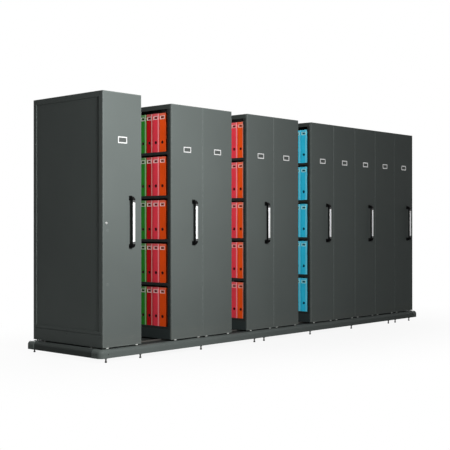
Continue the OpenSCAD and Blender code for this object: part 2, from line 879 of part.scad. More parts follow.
module shelves(i) {
  double = faces[i] == 2;
  outer = post_w / 2;
  w = double ? face_w - sheet - section_seam / 2 : face_w - 2 * sheet;
  inner = double ? face_w - sheet - mid_w / 4 : w - post_w / 2;
  hooks = [outer, inner];
  stop_x = double ? face_w : (i == last ? face_w - sheet - stop_w / 2 : sheet + stop_w / 2);
  color(anthracite) for (k = [0:levels - 1])
    translate([body_x(i), front_y + bay_y, level_z(k)]) {
      translate([sheet, 0, 0]) shelf(w, hooks);
      if (double) translate([2 * face_w - sheet, 0, 0]) mirror([1, 0, 0]) shelf(w, hooks);
      back_stop(stop_x);
    }
}

// Plan of a folded panel with two bent front edges
module bent_plan(w, d, r) {
  translate([r, 0]) square([w - 2 * r, d]);
  translate([0, r]) square([w, d - r]);
  for (x = [r, w - r]) translate([x, r]) circle(r = r, $fn = arc);
}

module end_panel(w, h) {
  linear_extrude(h) {
    difference() {
      bent_plan(w, panel_d, panel_bend);
      translate([sheet, sheet]) bent_plan(w - 2 * sheet, panel_d, panel_bend - sheet);
    }
    for (x = [0, w - panel_lip]) translate([x, panel_d - sheet]) square([panel_lip, sheet]);
  }
  for (z = [0, h - sheet]) translate([0, 0, z]) linear_extrude(sheet)
    bent_plan(w, panel_d, panel_bend);
}

// Block behind the lock unit's front panel that guides the lock rod
module rod_guide(z) {
  difference() {
    box([rod_x - rod_r - guide_wall, front_y + sheet + seat, z],
      [rod_x + rod_r + guide_wall, front_y + panel_d - guide_fit, z + guide_h]);
    translate([rod_x, rod_y, z - over])
      cylinder(r = rod_r + guide_fit, h = guide_h + 2 * over, $fn = arc);
  }
}

// Holes for the lock barrel and the lock rod in the front panel
module lock_holes() {
  translate([lock_cx, front_y - over, lock_cz]) rotate([-90, 0, 0])
    cylinder(r = barrel_r + run_fit, h = sheet + 2 * over, $fn = arc);
  translate([rod_x, rod_y, unit_z - over])
    cylinder(r = rod_r + guide_fit, h = sheet + 2 * over, $fn = arc);
}

// Glides under the foot of a panel, in front of the lock rod
module glides(x, w) {
  for (m = [x + glide_x, x + w - glide_x])
    box([m - glide_w / 2, front_y + bevel, sill_top + cap_t + glide_gap],
      [m + glide_w / 2, front_y + bevel + glide_d, unit_z - seat]);
}

module panels(i) {
  h = top_z(i) - unit_z;
  w = unit_w(i);
  wide = faces[i] == 2 ? (w - panel_seam) / 2 : w;
  lefts = faces[i] == 2 ? [unit_x(i), unit_x(i) + w - wide] : [unit_x(i)];
  color(anthracite) difference() {
    both_ends() for (x = lefts) translate([x, front_y, unit_z]) end_panel(wide, h);
    if (i == 0) lock_holes();
  }
  color(bright) both_ends() for (x = lefts) glides(x, wide);
  if (i == 0) color(steel) for (z = guide_zs) rod_guide(z);
}

// The closed side of the lock unit: a framed pan above a kick plate
module side_panel_left() {
  x0 = unit_x(0);
  y0 = front_y + panel_d;
  y1 = rear_y - panel_d;
  z0 = unit_z + kick_h;
  z1 = top_z(0);
  p = [y0 + border_w - panel_d, z0 + border_rear];
  q = [y1 - border_rear, z1 - border_w];
  color(dark) {
    difference() {
      union() {
        difference() {
          box([x0, y0, z0], [x0 + clad_w, y1, z1]);
          box([x0 + sheet, y0 + sheet, z0 + sheet], [x0 + clad_w + over, y1 - sheet, z1 - sheet]);
        }
        box([x0, p[0] - sheet, p[1] - sheet], [x0 + recess + sheet, q[0] + sheet, q[1] + sheet]);
      }
      box([x0 - over, p[0], p[1]], [x0 + recess, q[0], q[1]]);
    }
    difference() {
      box([x0, y0, unit_z], [x0 + clad_w, y1, z0 - kick_seam]);
      box([x0 + sheet, y0 + sheet, unit_z + sheet],
        [x0 + clad_w + over, y1 - sheet, z0 - kick_seam - sheet]);
    }
  }
}

// The closed side of the fixed unit: a sheet outside the uprights
module side_panel_right() {
  x1 = body_x(last) + face_w;
  color(anthracite) box([x1 - sheet, front_y + panel_d, beam_top],
    [x1, rear_y - panel_d, top_z(last) - cover_h]);
}

// Fittings

module grip_section(w, d) {
  round_rect(d, w, min(grip_round, d / 3));
}

// Upper end of a handle: foot, bend and sleeve
module elbow() {
  translate([0, elbow_r - standoff, -elbow_r]) rotate([90, 0, -90])
    rotate_extrude(angle = 90, $fn = arc) translate([elbow_r, 0]) grip_section(grip_w, grip_d);
  translate([0, elbow_r - standoff, 0]) rotate([-90, 0, 0])
    linear_extrude(standoff - elbow_r) rotate(90) grip_section(grip_w, grip_d);
  translate([0, -standoff, -elbow_r - sleeve_l]) linear_extrude(sleeve_l)
    rotate(90) grip_section(grip_w, grip_d);
  translate([0, -foot_plate, 0]) rotate([-90, 0, 0])
    linear_extrude(foot_plate) round_rect(grip_w + foot_rim, grip_d + 2 * foot_rim, grip_round);
}

module handle(i) {
  x = unit_x(i) + (i == 0 ? handle_x_lock : handle_x);
  reach = (i == 0 ? handle_l_lock : handle_l) / 2 - grip_d / 2 - foot_rim;
  bar = reach - elbow_r - sleeve_l - seat;
  translate([x, front_y, unit_z + handle_z]) {
    color(black) for (m = [0, 1]) mirror([0, 0, m]) translate([0, 0, reach]) elbow();
    translate([0, -standoff, -bar]) linear_extrude(2 * bar) {
      color(black) difference() {
        rotate(90) grip_section(grip_w - 2 * bar_step, grip_d - 2 * bar_step);
        translate([-strip_w / 2, -grip_d / 2 - over]) square([strip_w, strip_t + over]);
      }
      color(bright) intersection() {
        rotate(90) grip_section(grip_w - 2 * bar_step, grip_d - bar_step);
        translate([seat - strip_w / 2, -grip_d / 2 - over])
          square([strip_w - 2 * seat, strip_t + over - seat]);
      }
    }
  }
}

module label_holder(x, z, w, h) {
  window = [w - 2 * label_rim, h - 2 * label_rim];
  play = [2 * card_play, 2 * card_play];
  translate([x, front_y, z]) rotate([90, 0, 0]) {
    color(bright) linear_extrude(label_t) difference() {
      round_rect(w, h, label_r);
      square(window, center = true);
    }
    color(grey) linear_extrude(card_t) square(window - play, center = true);
  }
}

module label_holders(i) {
  if (i == 0) label_holder(unit_x(0) + unit_w(0) / 2, unit_z + label_z_lock, label_w_lock, label_h_lock);
  else for (f = [0:faces[i] - 1])
    label_holder(unit_x(i) + f * face_w + face_w / 2, unit_z + label_z, label_w, label_h);
}

// Key lock: rim, barrel, cam and crank pin in one turning piece
module lock_cylinder() {
  rim_t = rim_h - rim_gap;
  color(steel) translate([lock_cx, front_y, lock_cz]) rotate([-90, 0, 0]) {
    difference() {
      union() {
        translate([0, 0, -rim_h]) cylinder(r1 = rim_r - rim_bevel, r2 = rim_r, h = rim_t, $fn = arc);
        translate([0, 0, -rim_h / 2]) cylinder(r = barrel_r, h = cam_y + rim_h / 2, $fn = arc);
        translate([0, 0, cam_y]) cylinder(r = cam_r, h = cam_t, $fn = arc);
      }
      translate([-key_w / 2, -key_l / 2, -rim_h - over]) cube([key_w, key_l, rim_h]);
    }
    rotate(-45) translate([crank, 0, cam_y])
      cylinder(r = pin_r, h = cam_t + cam_gap + cam_t, $fn = arc);
  }
}

// Lock rod with the yoke that the crank pin moves
module lock_rod() {
  pin_z = lock_cz + pin_dx;
  half = pin_r + yoke_play;
  x0 = lock_cx + pin_dx - half;
  x1 = lock_cx + crank + half;
  z0 = unit_z - rod_tip;
  z1 = z0 + rod_r;
  color(steel) {
    translate([0, front_y + yoke_y, 0]) difference() {
      box([x0 - yoke_wall, 0, yoke_foot], [x1 + yoke_wall, cam_t, pin_z + half + yoke_wall]);
      box([x0, -over, pin_z - half], [x1, cam_t + over, pin_z + half]);
    }
    translate([rod_x, rod_y, z0]) cylinder(r1 = rod_r / 2, r2 = rod_r, h = rod_r, $fn = arc);
    translate([rod_x, rod_y, z1]) cylinder(r = rod_r, h = yoke_foot - z1, $fn = arc);
  }
}

// Lever arch binder, spine at x = 0, with a finger hole and a label frame
module binder() {
  w = binder_w;
  inner_w = w - 2 * board;
  pocket_y = (w - pocket_w) / 2;
  pocket_z = binder_h - pocket_top - pocket_h;
  difference() {
    union() {
      linear_extrude(binder_h) {
        translate([board, 0]) square([binder_d - board, board]);
        translate([board, w - board]) square([binder_d - board, board]);
        translate([0, board]) square([board, inner_w]);
        for (y = [board, w - board]) translate([board, y]) circle(r = board, $fn = arc);
      }
      translate([board, board, paper_in])
        cube([binder_d - board - paper_in, inner_w, binder_h - 2 * paper_in]);
      translate([-bevel, pocket_y, pocket_z]) cube([bevel + board, pocket_w, pocket_h]);
    }
    translate([-2 * bevel, pocket_y + pocket_rim, pocket_z + pocket_rim])
      cube([2 * bevel, pocket_w - 2 * pocket_rim, pocket_h - 2 * pocket_rim]);
    translate([-finger_t, w / 2, finger_z]) rotate([0, 90, 0])
      cylinder(r = finger_r, h = 2 * finger_t, $fn = arc);
  }
}

module binders(i, first_gap, tints) {
  for (k = [0:levels - 1], n = [0:len(tints) - 1])
    translate([body_x(i) + sheet + binder_back,
      front_y + bay_y + first_gap + n * (binder_w + binder_gap), level_z(k)])
      color(tints[n]) binder();
}

for (i = [0:last]) {
  frame(i);
  shelves(i);
  panels(i);
  handle(i);
  label_holders(i);
}
for (i = [0:last - 1]) {
  chassis(i);
  wheelset(i, 0);
  wheelset(i, 1);
}
base_sills();
corner_caps();
track_rails();
cross_members();
deck_panels();
levelling_feet();
rail_stops();
plinth();  // unit6_plinth
side_panel_left();  // unit1_side_panel
side_panel_right();  // unit6_side_panel
lock_cylinder();
lock_rod();
binders(1, first_gap_2, [orange, crimson, red, green, green]);  // unit2_binders
binders(2, first_gap_3, [orange, crimson, red]);  // unit3_binders
binders(3, first_gap_4, [blue, blue]);  // unit4_binders
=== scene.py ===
# %% [markdown]
# # Compact mobile shelving
# Six shelf units stand on a railed base, and five of them roll. The CAD model brings every solid,
# in metres and in its real place. The solids could be copied and reshaped here, but they would no
# longer fit their joints, so this lesson never moves one. It adds what CAD leaves out: paint,
# plastic, steel and paper, small fasteners, light and a camera.

# %% Load the CAD model as a fixed frame
import json
import math
import bmesh
import bpy
from mathutils import Matrix, Quaternion, Vector

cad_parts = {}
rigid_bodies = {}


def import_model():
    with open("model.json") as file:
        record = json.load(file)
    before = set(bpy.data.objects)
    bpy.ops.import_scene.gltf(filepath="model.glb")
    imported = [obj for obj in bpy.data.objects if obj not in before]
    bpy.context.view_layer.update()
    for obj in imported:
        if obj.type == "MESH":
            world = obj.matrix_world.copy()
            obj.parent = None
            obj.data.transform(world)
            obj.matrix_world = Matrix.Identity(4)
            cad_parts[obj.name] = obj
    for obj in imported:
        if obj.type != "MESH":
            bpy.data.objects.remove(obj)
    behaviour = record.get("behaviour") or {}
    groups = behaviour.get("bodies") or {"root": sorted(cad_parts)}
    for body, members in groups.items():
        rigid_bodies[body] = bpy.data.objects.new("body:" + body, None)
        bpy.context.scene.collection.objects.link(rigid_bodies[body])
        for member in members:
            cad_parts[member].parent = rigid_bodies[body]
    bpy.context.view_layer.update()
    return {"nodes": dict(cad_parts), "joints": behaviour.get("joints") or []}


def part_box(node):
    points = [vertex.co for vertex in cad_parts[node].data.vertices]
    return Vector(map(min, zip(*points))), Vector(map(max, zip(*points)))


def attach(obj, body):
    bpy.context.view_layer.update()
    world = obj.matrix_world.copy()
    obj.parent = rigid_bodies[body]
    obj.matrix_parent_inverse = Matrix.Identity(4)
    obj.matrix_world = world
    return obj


for leftover in list(bpy.data.objects):
    bpy.data.objects.remove(leftover)
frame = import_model()
nodes = frame["nodes"]

# %% [markdown]
# ## Reading places off the frame
# A screw has to sit where its hole or plate is. Typing coordinates would break as soon as the CAD
# changes, so a small helper lists the separate solids of a node with the box that each one fills.
# It joins triangles that share a corner, which is enough because the solids don't touch.

# %% Boxes of the solids in a node
def solids(node):
    mesh = nodes[node].data
    keys = {}
    corner = [keys.setdefault(tuple(round(c, 6) for c in v.co), len(keys)) for v in mesh.vertices]
    root = list(range(len(keys)))

    def find(k):
        """The corner that stands for the group of corner k."""
        while root[k] != k:
            root[k] = root[root[k]]
            k = root[k]
        return k

    # At first each corner is a group of its own. An edge joins the groups of its two ends.
    for edge in mesh.edges:
        a, b = (find(corner[v]) for v in edge.vertices)
        root[a] = b
    # What is still apart then is a solid, and its corners give its box.
    boxes = {}
    for point, k in keys.items():
        lo, hi = boxes.setdefault(find(k), (list(point), list(point)))
        for axis in range(3):
            lo[axis] = min(lo[axis], point[axis])
            hi[axis] = max(hi[axis], point[axis])
    return [(Vector(lo), Vector(hi)) for lo, hi in boxes.values()]


joints = {j["name"]: j for j in frame["joints"]}
front_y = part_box("unit1_panels")[0].y
print(len(solids("levelling_feet")), "feet; the panels' fronts are at y =", round(front_y, 3))

# %% [markdown]
# ## Camera
# The photograph looks at the left end of the row from almost level height. A camera could be moved
# by eye until it looks right. Here the lens, the place and the small tilt come from fitting the
# panel edges of the picture, so the render can be laid over it.

# %% Camera
camera = bpy.data.objects.new("camera", bpy.data.cameras.new("camera"))
bpy.context.scene.collection.objects.link(camera)
camera.data.lens = 75.22
camera.data.clip_end = 100
yaw, pitch, roll = math.radians(47.446), math.radians(0.091), math.radians(0.034)
forward = Vector((math.sin(yaw) * math.cos(pitch), math.cos(yaw) * math.cos(pitch), math.sin(pitch)))
camera.location = (-7.2311, -6.2743, 1.092)
camera.rotation_mode = "QUATERNION"
camera.rotation_quaternion = Quaternion(forward, roll) @ forward.to_track_quat("-Z", "Y")
bpy.context.scene.camera = camera
bpy.context.scene.view_settings.view_transform = "Standard"
print("camera looks along", [round(c, 3) for c in forward])

# %% [markdown]
# ## A short way to write shader maths
# A mask is a sum worked out for each point of a surface. It could be made by adding and linking
# Math nodes one by one, but such a list is long and hard to read. This class wraps one output
# socket, so that `1 - mask * 2` adds the nodes by itself.

# %% Sockets that can be added and multiplied
class Wire:
    def __init__(self, finish, socket):
        self.finish, self.socket = finish, socket

    def math(self, operation, *terms):
        return self.finish.node("Math", dict(enumerate(terms)), operation=operation)

    def __add__(self, other):
        return self.math("ADD", self, other)

    def __sub__(self, other):
        return self.math("SUBTRACT", self, other)

    def __rsub__(self, other):
        return self.math("SUBTRACT", other, self)

    def __mul__(self, other):
        return self.math("MULTIPLY", self, other)

    def __truediv__(self, other):
        return self.math("DIVIDE", self, other)

    def __mod__(self, other):
        return self.math("FLOORED_MODULO", self, other)

    def __pow__(self, other):
        return self.math("POWER", self, other)

    def __gt__(self, other):
        return self.math("GREATER_THAN", self, other)

    def __lt__(self, other):
        return self.math("LESS_THAN", self, other)

    __radd__ = __add__
    __rmul__ = __mul__


# %% [markdown]
# ## A finish
# Each real surface below becomes one `Finish`: a Principled shader with a few ready-made helpers.
# Any node but a sum comes from one method, `node`, which sets its settings first and then its
# sockets. Positions could come from unwrapped meshes, but CAD solids have none. They are read
# from the object's own coordinates instead. The CAD nodes sit at the origin, so for them these are
# the real coordinates in metres, and they stay with the part when it moves.

# %% The Finish class
class Finish:
    def __init__(self, name, **fixed):
        self.material = bpy.data.materials.new(name)
        self.material.use_nodes = True
        self.tree = self.material.node_tree
        self.shader = self.tree.nodes["Principled BSDF"]
        self.set(**fixed)
        self.place = self.node("TexCoord", out="Object")
        self.x, self.y, self.z = (
            self.node("SeparateXYZ", {0: self.place}, out=k) for k in range(3))

    def put(self, socket, value):
        """Links a wire to a socket, or writes a plain value into it."""
        if isinstance(value, Wire):
            self.tree.links.new(value.socket, socket)
        elif socket.type == "VECTOR":
            socket.default_value = value[:3]
        else:
            socket.default_value = value

    def node(self, kind, sockets=None, out=0, **settings):
        """Adds a node: its settings first, then its sockets. Gives back one of its outputs."""
        made = self.tree.nodes.new("ShaderNode" + kind)
        for key, value in settings.items():
            setattr(made, key, value)
        for key, value in (sockets or {}).items():
            self.put(made.inputs[key], value)
        return Wire(self, made.outputs[out])

    def set(self, **values):
        """Sets sockets of the shader, such as Base_Color or Roughness."""
        for key, value in values.items():
            self.put(self.shader.inputs[key.replace("_", " ")], value)

    def now(self, name):
        """What drives a socket of the shader at this point of the script."""
        return Wire(self, self.shader.inputs[name].links[0].from_socket)

    def noise(self, scale, detail=2, stretch=(1, 1, 1)):
        """Cloudy noise. A small number in `stretch` draws it out along that axis."""
        spread = self.node("Mapping", {"Vector": self.place, "Scale": stretch})
        return self.node("TexNoise", {"Vector": spread, "Scale": scale, "Detail": detail})

    def step(self, value, low, high, start=0.0, end=1.0):
        """A soft step: `start` below `low`, `end` above `high`."""
        sockets = {"Value": value, "From Min": low, "From Max": high, "To Min": start, "To Max": end}
        return self.node("MapRange", sockets, interpolation_type="SMOOTHSTEP")

    def band(self, value, low, high, soft=1e-4):
        """1 from `low` to `high` and 0 outside."""
        return self.step(value, low - soft, low + soft) * self.step(value, high - soft, high + soft, 1, 0)

    def mix(self, factor, first, second):
        """The first colour where the factor is 0, the second where it is 1."""
        return self.node("Mix", {0: factor, 6: first, 7: second}, out=2, data_type="RGBA")

    def shade(self, colour, amount):
        """A colour made lighter or darker. A Math node would turn it grey."""
        return self.node("VectorMath", {0: colour, "Scale": amount}, operation="SCALE")

    def bump(self, height, distance):
        """Grooves and grain: `distance` is how high a height of 1 stands, in metres."""
        self.set(Normal=self.node("Bump", {"Height": height, "Distance": distance, "Strength": 1.0}))

    def edges(self, radius):
        """1 on edges that stand proud, 0 on flat faces."""
        rounded = self.node("Bevel", {"Radius": radius}, samples=6)
        flat = self.node("NewGeometry", out="Normal")
        along = self.node("VectorMath", {0: rounded, 1: flat}, out="Value", operation="DOT_PRODUCT")
        return self.step(along, 0.96, 0.75)


print("shader maths and finishes are ready")

# %% [markdown]
# ## Putting a finish on
# The material slots of all the nodes could be filled one by one. `dress` fills every slot of the
# nodes it is given. The colours in this lesson are written as a screen shows them, 0 to 255,
# because they can be compared with a picture that way, and `rgb` makes them linear for the shader.

# %% Dress nodes and make colours linear
def dress(finish, *names):
    """Puts a finish on every slot of the CAD nodes named."""
    for name in names:
        slots = nodes[name].data.materials
        for k in range(len(slots)):
            slots[k] = finish.material
        if not slots:
            slots.append(finish.material)
    print(finish.material.name, "on", len(names), "nodes")


def rgb(red, green, blue):
    """A colour as read on screen, 0 to 255, turned into the linear values that shaders use."""
    def linear(share):
        return share / 12.92 if share <= 0.04045 else ((share + 0.055) / 1.055) ** 2.4

    return tuple(round(linear(level / 255), 4) for level in (red, green, blue)) + (1,)


print("middle grey of a screen is", rgb(128, 128, 128)[0], "for a shader")

# %% [markdown]
# ## Powder coat
# The sheet metal is sprayed with powder that melts into a satin skin. Up close it has an
# orange-peel texture of about a millimetre, over a metre it is never quite even, and its edges are
# lighter: partly wear from hands and trolleys, partly a painted highlight of the bends catching
# light. A photograph of paint would repeat on parts this long. Noise at three sizes doesn't, and a
# Bevel node, compared with the true normal, finds the edges. The sizes are counted in features per
# metre, `edge_rub_and_sheen` says how strongly the edges are lightened, and `fold` how wide the lighter edge
# is.

# %% A recipe for powder coat
CLOUD, GRAIN, PEEL = 1.7, 260, 750


def powder_coat(name, colour, rough=0.5, edge_rub_and_sheen=0.55, fold=0.004):
    coat = Finish(name, Specular_IOR_Level=0.06)
    cloud = coat.noise(CLOUD, detail=3)
    grain = coat.noise(GRAIN, detail=1)
    peel = coat.noise(PEEL, detail=2)
    tone = 0.86 + cloud * 0.2 + grain * 0.08
    # Lighter edges: partly wear, partly a painted highlight of the bends catching light.
    edge_wear_and_sheen = coat.edges(fold) * coat.step(coat.noise(35, detail=3), 0.3, 0.7, 0.35, 1)
    light = tuple(min(1, c * 1.9 + 0.02) for c in colour[:3]) + (1,)
    coat.set(
        Base_Color=coat.mix(edge_wear_and_sheen * edge_rub_and_sheen, coat.shade(colour, tone), light),
        Roughness=rough - 0.05 + cloud * 0.1 - edge_wear_and_sheen * 0.1,
    )
    coat.bump(peel + grain * 0.5, 0.00008)
    return coat


GREY = rgb(90, 96, 94)
DARK = rgb(48, 51, 50)
COVER = rgb(62, 67, 65)
side_coat = powder_coat("side_coat", GREY)
shelf_coat = powder_coat("shelf_coat", DARK)
chassis_coat = powder_coat("chassis_coat", rgb(54, 61, 61), rough=0.55)
sill_coat = powder_coat("sill_coat", GREY)
print("grey paint", GREY[:3], "and dark paint", DARK[:3])

# %% [markdown]
# The top covers belong to the frame nodes but have a lighter paint than the uprights. They could
# be given a slot of their own, face by face. They are also simply the part of each frame above the
# lower edge of the cover's rim, so a mask on the height picks them out.

# %% Two paints on one node
COVER_RIM = 0.04


def frame_finish(unit):
    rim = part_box(f"unit{unit}_frame")[1].z - COVER_RIM
    coat = powder_coat(f"frame_coat_{unit}", DARK)
    cover = coat.step(coat.z, rim - 0.0002, rim + 0.0002)
    coat.set(Base_Color=coat.mix(cover, coat.now("Base Color"), COVER))
    return coat


for unit in range(1, 7):
    dress(frame_finish(unit), f"unit{unit}_frame")
    dress(shelf_coat, f"unit{unit}_shelves")
dress(side_coat, "unit1_side_panel", "unit6_side_panel")
dress(chassis_coat, *[f"unit{u}_chassis" for u in range(1, 6)], "unit6_plinth", "cross_members")

# %% [markdown]
# The sills are the ramped edge of the base. Those across its two ends are darker in the photograph
# than the long ones, and here they get a darker paint as painted shade. All of them are one node,
# so again a mask does it: the end sills are the part that lies farther from the middle of the row
# than `reach`.

# %% Sills
END_SILL = 0.04
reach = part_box("base_sills")[1].x - END_SILL
ends = (sill_coat.x > reach) + (sill_coat.x < -reach)
# The end sills take the darker cover paint as painted shade.
sill_coat.set(Base_Color=sill_coat.mix(ends, sill_coat.now("Base Color"), COVER))
dress(sill_coat, "base_sills")

# %% [markdown]
# ## End panels
# The large fronts carry a little more: finger marks round the handle height dull the satin, and
# the lowest hand's breadth collects dust and shoe marks. These could be painted on by hand. Noise
# that fades with the height gives each front its own. The small nylon glides below the panels are
# white in front and are told from the panels by their height.

# %% Panels
DUST_TOP, SCUFF_LOW, SCUFF_TOP = 0.14, 0.05, 0.3
HAND_LOW, HAND_HIGH = 0.85, 1.35
panel_foot = max(lo.z for lo, hi in solids("unit2_panels"))
for unit in range(1, 7):
    # The wide fold paints a highlight along the panels' bent edges and seams.
    panel = powder_coat(f"panel_coat_{unit}", GREY, fold=0.012)
    up = panel.z - panel_foot
    dust = panel.step(up, 0.0, DUST_TOP, 1, 0) * panel.noise(24, detail=4)
    scuff = panel.noise(60, detail=4, stretch=(0.12, 1, 1.6)) > 0.66
    marks = dust * 0.35 + scuff * panel.step(up, SCUFF_LOW, SCUFF_TOP, 0.25, 0)
    touched = panel.band(panel.z, HAND_LOW, HAND_HIGH, soft=0.15) * panel.step(panel.noise(9), 0.45, 0.6)
    glide = (up < -0.00005) * (panel.y < 0)
    painted = panel.mix(marks, panel.now("Base Color"), rgb(108, 110, 105))
    panel.set(
        Base_Color=panel.mix(glide, painted, rgb(196, 198, 194)),
        Roughness=panel.now("Roughness") + touched * 0.06 + marks * 0.2,
    )
    dress(panel, f"unit{unit}_panels")

# %% [markdown]
# ## Floor of the base
# The folded trays between the rails are walked on. They get a darker, rougher coat with a raised
# grip pattern, and paler scratches where shoes turn. Modelled pips would be thousands of small
# domes. A Voronoi texture gives their round shapes to a Bump node and costs no face.

# %% Deck
PIPS = 160.0
deck = powder_coat("deck_coat", rgb(49, 52, 51), rough=0.6, edge_rub_and_sheen=0.8)
pips = deck.node("TexVoronoi", {"Vector": deck.place, "Scale": PIPS, "Randomness": 0.15}, out="Distance")
scratch = deck.noise(90, detail=5, stretch=(0.2, 1, 1)) > 0.68
deck.set(Base_Color=deck.mix(scratch * 0.4, deck.now("Base Color"), rgb(104, 106, 104)))
deck.bump(deck.step(pips, 0.35, 0.15), 0.0004)
dress(deck, "deck_panels")

# %% [markdown]
# ## Moulded plastic and rubber
# Corner caps, handle ends and rail stops are mouldings with a fine leather grain from the tool.
# The caps are grey like the sills and the rest is black. Plain noise would look like dust. Voronoi
# cells a millimetre wide have the closed outlines of that grain.

# %% A recipe for moulded plastic
LEATHER, LEATHER_DEEP = 900.0, 0.00006


def moulded(name, colour, rough=0.5, shine=0.3):
    plastic = Finish(name, Specular_IOR_Level=shine)
    cells = plastic.node("TexVoronoi", {"Vector": plastic.place, "Scale": LEATHER}, out="Distance")
    haze = plastic.noise(14, detail=3)
    edge_wear_and_sheen = plastic.edges(0.0025) * plastic.noise(80, detail=2)
    pale = tuple(min(1, c * 2.2 + 0.015) for c in colour[:3]) + (1,)
    plastic.set(
        Base_Color=plastic.mix(edge_wear_and_sheen * 0.7, plastic.shade(colour, 0.8 + haze * 0.4), pale),
        Roughness=rough - 0.06 + haze * 0.12,
    )
    plastic.bump(cells, LEATHER_DEEP)
    return plastic


dress(moulded("cap_plastic", rgb(91, 98, 95), rough=0.42, shine=0.1), "corner_caps")
dress(moulded("stop_rubber", rgb(32, 32, 32), rough=0.75), "rail_stops")

# %% [markdown]
# ## Bare and plated steel
# Drawn and turned steel carries fine lines along the way it was worked. The shader's own
# anisotropy could bend the shine instead, but it needs a direction on every face. Noise stretched
# hard in one direction makes the lines, both in the roughness and as a very shallow bump.

# %% A recipe for worked steel
def worked_steel(name, colour, stretch, rough=0.32, grime=0.3):
    steel = Finish(name, Metallic=1.0)
    lines = steel.noise(700, detail=3, stretch=stretch)
    film = steel.step(steel.noise(11, detail=4), 0.42, 0.75)
    steel.set(
        Base_Color=steel.mix(film * grime, steel.shade(colour, 0.9 + lines * 0.2), rgb(72, 68, 62)),
        Roughness=rough - 0.08 + lines * 0.16 + film * 0.15,
    )
    steel.bump(lines, 0.00003)
    return steel


dress(worked_steel("rod_steel", rgb(196, 196, 190), (1, 1, 0.03)), "lock_rod")

# %% [markdown]
# The wheels run on the top of the rail, which stays bright, while the web below goes brown-grey
# with dust and old grease. Rail and web are one solid, so one mask on the height splits the two.

# %% Rails
POLISHED = 0.0008
rail = worked_steel("rail_steel", rgb(150, 149, 146), (0.02, 1, 1), rough=0.42)
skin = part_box("track_rails")[1].z - POLISHED
below = rail.step(rail.z, skin - POLISHED / 2, skin + POLISHED / 2, 1, 0)
rail.set(
    Base_Color=rail.mix(below * 0.6, rail.now("Base Color"), rgb(70, 66, 60)),
    Metallic=1 - below * 0.35,
)
dress(rail, "track_rails")

# %% [markdown]
# ## Wheels
# Each wheelset is one node: iron wheels on a ground shaft. The tread is polished by the rail and
# the flanges stay dark. Ten materials could hold the ten axles' places. The distance from the axle
# can also be read from Generated coordinates, which run from 0 to 1 over the node's own box
# wherever the wheelset stands, so one material does for all.

# %% Wheelsets
SHAFT_R, FLANGE_TALL = 0.0106, 0.006
wheels = Finish("wheel_steel", Metallic=0.9)
inside = wheels.node("TexCoord", out="Generated")
low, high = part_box("unit1_wheelset_left")
across = wheels.node("SeparateXYZ", {0: inside}, out=0) - 0.5
upward = wheels.node("SeparateXYZ", {0: inside}, out=2) - 0.5
radius = (across * across + upward * upward) ** 0.5 * (high.z - low.z)
turning = wheels.node("TexWave", {"Vector": inside, "Scale": 40.0, "Distortion": 0.6},
                      wave_type="RINGS", rings_direction="Y")
tip = (high.z - low.z) / 2
shaft = wheels.step(radius, SHAFT_R - 0.0002, SHAFT_R + 0.0002, 1, 0)
tread = wheels.band(radius, tip - FLANGE_TALL - 0.0008, tip - FLANGE_TALL + 0.0008)
soot = wheels.noise(45, detail=4)
iron = wheels.shade(rgb(88, 86, 82), 0.7 + soot * 0.6)
wheels.set(
    Base_Color=wheels.mix(shaft + tread, iron, rgb(190, 190, 186)),
    Roughness=0.55 - (shaft + tread) * 0.3 + soot * 0.1,
)
wheels.bump(turning + soot, 0.00005)
wheelsets = [name for name in sorted(nodes) if "wheelset" in name]
dress(wheels, *wheelsets)

# %% [markdown]
# ## Levelling feet
# A plastic pad carries a blackened steel stem with a lock nut. The thread could be a modelled
# helix, but it is only a pixel wide. It is a fine ramp that repeats along the height, which a Bump
# node turns into grooves without a single extra face.

# %% Feet
PAD_TOP, THREAD_PITCH = 0.0066, 0.00125
feet = Finish("foot_steel")
pad = feet.step(feet.z, PAD_TOP, PAD_TOP + 0.0003, 1, 0)
thread = (feet.z * (1 / THREAD_PITCH)) % 1
dull = feet.noise(160, detail=3)
feet.set(
    Base_Color=feet.mix(pad, feet.shade(rgb(74, 74, 72), 0.7 + dull * 0.6), rgb(26, 26, 27)),
    Metallic=0.85 - pad * 0.85,
    Roughness=0.42 + pad * 0.2 + dull * 0.1,
)
feet.bump(thread * (1 - pad), 0.0006)
dress(feet, "levelling_feet")

# %% [markdown]
# ## Handles
# Black moulded ends and back hold a bright pressed strip that faces the user. The strip is the
# part of the bar farthest in front, so its depth and its height pick it out. Metal shows what it
# mirrors, and where nothing bright stands in front it goes black. The strip is therefore only half
# metal, and under a lamp it stays as bright as in the photograph. Worn sleeves on the elbows next
# to it are a little paler than the rest of the plastic.

# %% Handles
SLEEVE = 0.0185
for unit in range(1, 7):
    pieces = sorted(solids(f"unit{unit}_handle"), key=lambda b: b[1].z - b[0].z)
    low, high = pieces[-1]
    strip_back = min(b[1].y for b in pieces)
    grip = moulded(f"grip_plastic_{unit}", rgb(9, 9, 10), rough=0.5, shine=0.1)
    in_front = grip.step(grip.y, strip_back, strip_back + 0.0001, 1, 0)
    strip = grip.band(grip.z, low.z, high.z) * in_front
    lines = grip.noise(600, detail=2, stretch=(1, 1, 0.02))
    with_strip = grip.band(grip.z, low.z - 1e-4, high.z + 1e-4)
    sleeve = (grip.band(grip.z, low.z - SLEEVE, high.z + SLEEVE) - with_strip) * in_front
    plastic = grip.mix(sleeve * 0.5, grip.now("Base Color"), rgb(120, 122, 122))
    grip.set(
        Base_Color=grip.mix(strip, plastic, rgb(250, 250, 250)),
        Metallic=strip * 0.55,
        Roughness=grip.now("Roughness") * (1 - strip) + strip * (0.3 + lines * 0.15),
    )
    dress(grip, f"unit{unit}_handle")

# %% [markdown]
# ## Label holders
# A satin frame with rounded corners holds a blank grey card. The two are separate solids in one
# node, and a slot for each face would split them. The card lies just on the panel and the frame
# stands three millimetres proud, so their depth also tells them apart.

